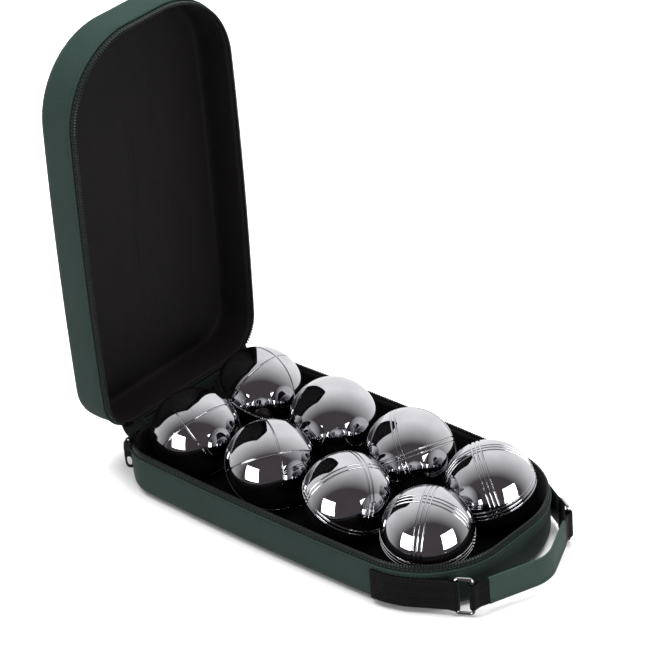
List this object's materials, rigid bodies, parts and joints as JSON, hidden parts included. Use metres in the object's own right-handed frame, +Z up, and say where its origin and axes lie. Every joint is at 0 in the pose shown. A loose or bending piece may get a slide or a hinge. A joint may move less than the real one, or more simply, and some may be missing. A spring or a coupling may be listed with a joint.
{
  "type": "boules set in carry case",
  "caption": "Set of grooved steel boules with a wooden jack, seated in a soft zip case with a fabric-hinged lid and a ringed strap handle.",
  "frame": {"origin": "centre of the case's underside, on the surface the case rests on", "axes": "+X from the hinge end to the handle end, +Y across the case, +Z up; the lid stands open along +Z at the -X end"},
  "size_m": [0.4084, 0.1822, 0.3815],
  "materials": {
    "green_nylon": "woven, matt",
    "black_lining": "brushed tricot with a soft sheen",
    "board": "plain sheet",
    "black_foam": "matt foam",
    "green_piping": "matt binding",
    "zip_tape": "matt woven tape",
    "zip_teeth": "satin nylon coil",
    "dark_metal": "dark plated",
    "black_webbing": "ribbed webbing",
    "ring_steel": "bright plated wire",
    "chromed_steel": "polished",
    "wood": "smooth, oiled"
  },
  "bodies": {
    "base": {"base_shell": "green_nylon", "base_board": "board", "base_liner": "black_lining", "ball_tray": "black_foam", "base_piping": "green_piping", "zip_tape_base": "zip_tape", "zip_teeth_base": "zip_teeth", "zip_stops_base": "dark_metal", "hinge_binding": "green_piping", "webbing_near": "black_webbing", "webbing_far": "black_webbing"},
    "lid": {"lid_shell": "green_nylon", "lid_board": "board", "lid_liner": "black_lining", "lid_piping": "green_piping", "zip_tape_lid": "zip_tape", "zip_teeth_lid": "zip_teeth", "zip_stops_lid": "dark_metal"},
    "slider": {"zip_slider": "dark_metal"},
    "pull": {"zip_pull": "dark_metal"},
    "near_ring": {"ring_near": "ring_steel"},
    "strap": {"handle_strap": "green_nylon", "strap_end_near": "black_webbing", "strap_end_far": "black_webbing"},
    "far_ring": {"ring_far": "ring_steel"},
    "boule_near_1_body": {"boule_near_1": "chromed_steel"},
    "boule_near_2_body": {"boule_near_2": "chromed_steel"},
    "boule_near_3_body": {"boule_near_3": "chromed_steel"},
    "boule_near_4_body": {"boule_near_4": "chromed_steel"},
    "boule_far_1_body": {"boule_far_1": "chromed_steel"},
    "boule_far_2_body": {"boule_far_2": "chromed_steel"},
    "boule_far_3_body": {"boule_far_3": "chromed_steel"},
    "boule_far_4_body": {"boule_far_4": "chromed_steel"},
    "jack_body": {"jack": "wood"}
  },
  "joints": [
    {"name": "lid_hinge", "type": "hinge", "parent": "base", "child": "lid", "pos_m": [-0.1703, 0, 0.0413], "axis": [0, -1, 0], "range_deg": [-90, 90]},
    {"name": "zip_slider_travel", "type": "hinge", "parent": "base", "child": "slider", "pos_m": [-0.137, -0.05535, 0.0413], "axis": [0, 0, 1], "range_deg": [0, 30]},
    {"name": "zip_pull_swing", "type": "hinge", "parent": "slider", "child": "pull", "pos_m": [-0.16147, -0.07981, 0.0413], "axis": [-0.7071, 0.7071, 0], "range_deg": [-2, 165]},
    {"name": "near_ring_swing", "type": "hinge", "parent": "base", "child": "near_ring", "pos_m": [0.16245, -0.06501, 0.018], "axis": [0, 0, 1], "range_deg": [-12, 12]},
    {"name": "strap_swing", "type": "hinge", "parent": "near_ring", "child": "strap", "pos_m": [0.17382, -0.0587, 0.018], "axis": [0, 0, 1], "range_deg": [-14, 14]},
    {"name": "far_ring_swing", "type": "hinge", "parent": "base", "child": "far_ring", "pos_m": [0.16245, 0.06501, 0.018], "axis": [0, 0, 1], "range_deg": [-12, 12]},
    {"name": "boule_near_1_lift", "type": "slide", "parent": "base", "child": "boule_near_1_body", "axis": [0, 0, 1], "range_m": [0, 0.12]},
    {"name": "boule_near_2_lift", "type": "slide", "parent": "base", "child": "boule_near_2_body", "axis": [0, 0, 1], "range_m": [0, 0.12]},
    {"name": "boule_near_3_lift", "type": "slide", "parent": "base", "child": "boule_near_3_body", "axis": [0, 0, 1], "range_m": [0, 0.12]},
    {"name": "boule_near_4_lift", "type": "slide", "parent": "base", "child": "boule_near_4_body", "axis": [0, 0, 1], "range_m": [0, 0.12]},
    {"name": "boule_far_1_lift", "type": "slide", "parent": "base", "child": "boule_far_1_body", "axis": [0, 0, 1], "range_m": [0, 0.12]},
    {"name": "boule_far_2_lift", "type": "slide", "parent": "base", "child": "boule_far_2_body", "axis": [0, 0, 1], "range_m": [0, 0.12]},
    {"name": "boule_far_3_lift", "type": "slide", "parent": "base", "child": "boule_far_3_body", "axis": [0, 0, 1], "range_m": [0, 0.12]},
    {"name": "boule_far_4_lift", "type": "slide", "parent": "base", "child": "boule_far_4_body", "axis": [0, 0, 1], "range_m": [0, 0.12]},
    {"name": "jack_lift", "type": "slide", "parent": "base", "child": "jack_body", "axis": [0, 0, 1], "range_m": [0, 0.12]}
  ],
  "couplings": [
    {"joint": "strap_swing", "follows": "near_ring_swing", "ratio": -1.1074},
    {"joint": "far_ring_swing", "follows": "near_ring_swing", "ratio": 1}
  ]
}
